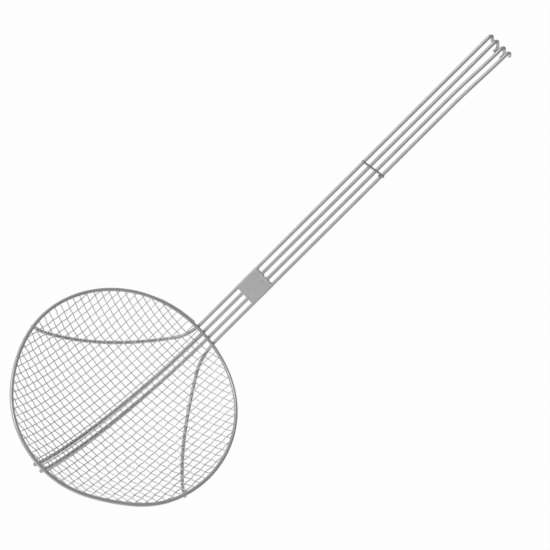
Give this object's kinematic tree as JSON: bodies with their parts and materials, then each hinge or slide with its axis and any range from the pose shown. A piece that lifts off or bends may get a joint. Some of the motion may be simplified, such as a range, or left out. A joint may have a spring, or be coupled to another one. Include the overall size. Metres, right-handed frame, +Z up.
{
  "type": "frying strainer",
  "caption": "Wire frying strainer: a shallow dish of woven wire cloth in a round rim, on a rising handle of parallel wires with hooked ends and a folded band.",
  "frame": {"origin": "under the middle of the bounding box, level with the lowest point of the wires under the dish", "axes": "+X along the handle in plan, from the dish to the hooks; +Y to the left seen from the dish towards the handle; +Z up, square to the rim's plane"},
  "size_m": [0.457, 0.2032, 0.3278],
  "materials": {
    "rim_wire": "bright drawn wire, satin",
    "cloth_wire": "bright drawn wire, satin",
    "handle_wire": "bright drawn wire, satin",
    "band_sheet": "plain sheet, matt"
  },
  "bodies": {
    "root": {"rim_and_cross_wires": "rim_wire", "long_wire_01": "cloth_wire", "long_wire_02": "cloth_wire", "long_wire_03": "cloth_wire", "long_wire_04": "cloth_wire", "long_wire_05": "cloth_wire", "long_wire_06": "cloth_wire", "long_wire_07": "cloth_wire", "long_wire_08": "cloth_wire", "long_wire_09": "cloth_wire", "long_wire_10": "cloth_wire", "long_wire_11": "cloth_wire", "long_wire_12": "cloth_wire", "long_wire_13": "cloth_wire", "long_wire_14": "cloth_wire", "long_wire_15": "cloth_wire", "long_wire_16": "cloth_wire", "long_wire_17": "cloth_wire", "long_wire_18": "cloth_wire", "long_wire_19": "cloth_wire", "long_wire_20": "cloth_wire", "long_wire_21": "cloth_wire", "long_wire_22": "cloth_wire", "long_wire_23": "cloth_wire", "long_wire_24": "cloth_wire", "long_wire_25": "cloth_wire", "long_wire_26": "cloth_wire", "long_wire_27": "cloth_wire", "long_wire_28": "cloth_wire", "long_wire_29": "cloth_wire", "long_wire_30": "cloth_wire", "long_wire_31": "cloth_wire", "long_wire_32": "cloth_wire", "long_wire_33": "cloth_wire", "outer_wire_left": "handle_wire", "inner_wire_left": "handle_wire", "inner_wire_right": "handle_wire", "outer_wire_right": "handle_wire", "handle_band": "band_sheet", "cross_tie": "handle_wire"}
  },
  "joints": []
}
